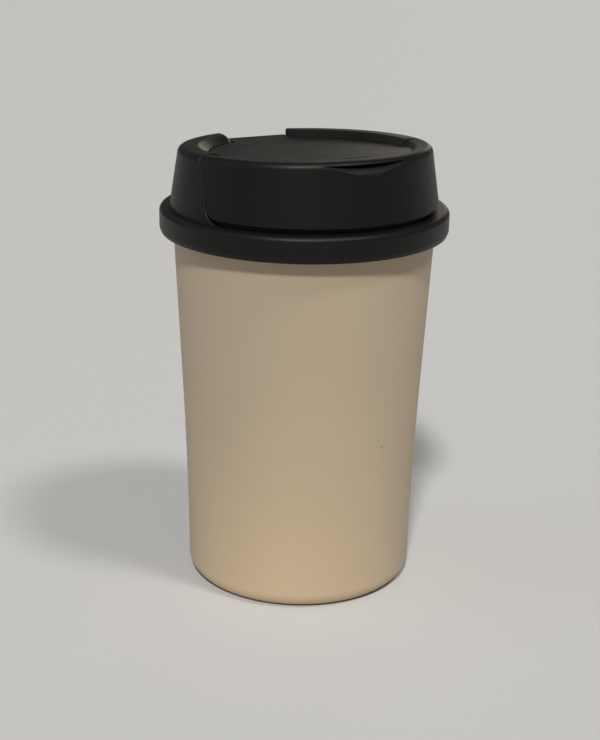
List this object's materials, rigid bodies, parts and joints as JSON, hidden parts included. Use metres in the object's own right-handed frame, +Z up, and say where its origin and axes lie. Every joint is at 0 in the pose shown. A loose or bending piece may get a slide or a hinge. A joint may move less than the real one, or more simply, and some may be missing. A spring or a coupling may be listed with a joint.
{
  "type": "reusable coffee cup",
  "caption": "Tapered reusable take-away coffee cup with a press-on lid, a hinged flap that closes the drinking hole, and a thumb scoop under the flap's lip.",
  "frame": {"origin": "middle of the foot, on the table", "axes": "+Z up along the cup's axis; the side one drinks from faces -Y and the flap's hinge is at +Y"},
  "size_m": [0.092, 0.092, 0.1447],
  "materials": {
    "cup": "matte, fine moulded grain, warm beige",
    "lid": "satin black, fine moulded grain",
    "seal": "matte black silicone"
  },
  "bodies": {
    "cup": {"cup": "cup"},
    "lid": {"lid_base": "lid", "lid_seal": "seal"},
    "flap": {"lid_flap": "lid", "drink_stopper": "seal"}
  },
  "joints": [
    {"name": "lid_lift", "type": "slide", "parent": "cup", "child": "lid", "axis": [0, 0, 1], "range_m": [0, 0.06]},
    {"name": "flap_hinge", "type": "hinge", "parent": "lid", "child": "flap", "pos_m": [0, 0.0355, 0.13693], "axis": [-1, 0, 0], "range_deg": [0, 105]}
  ]
}
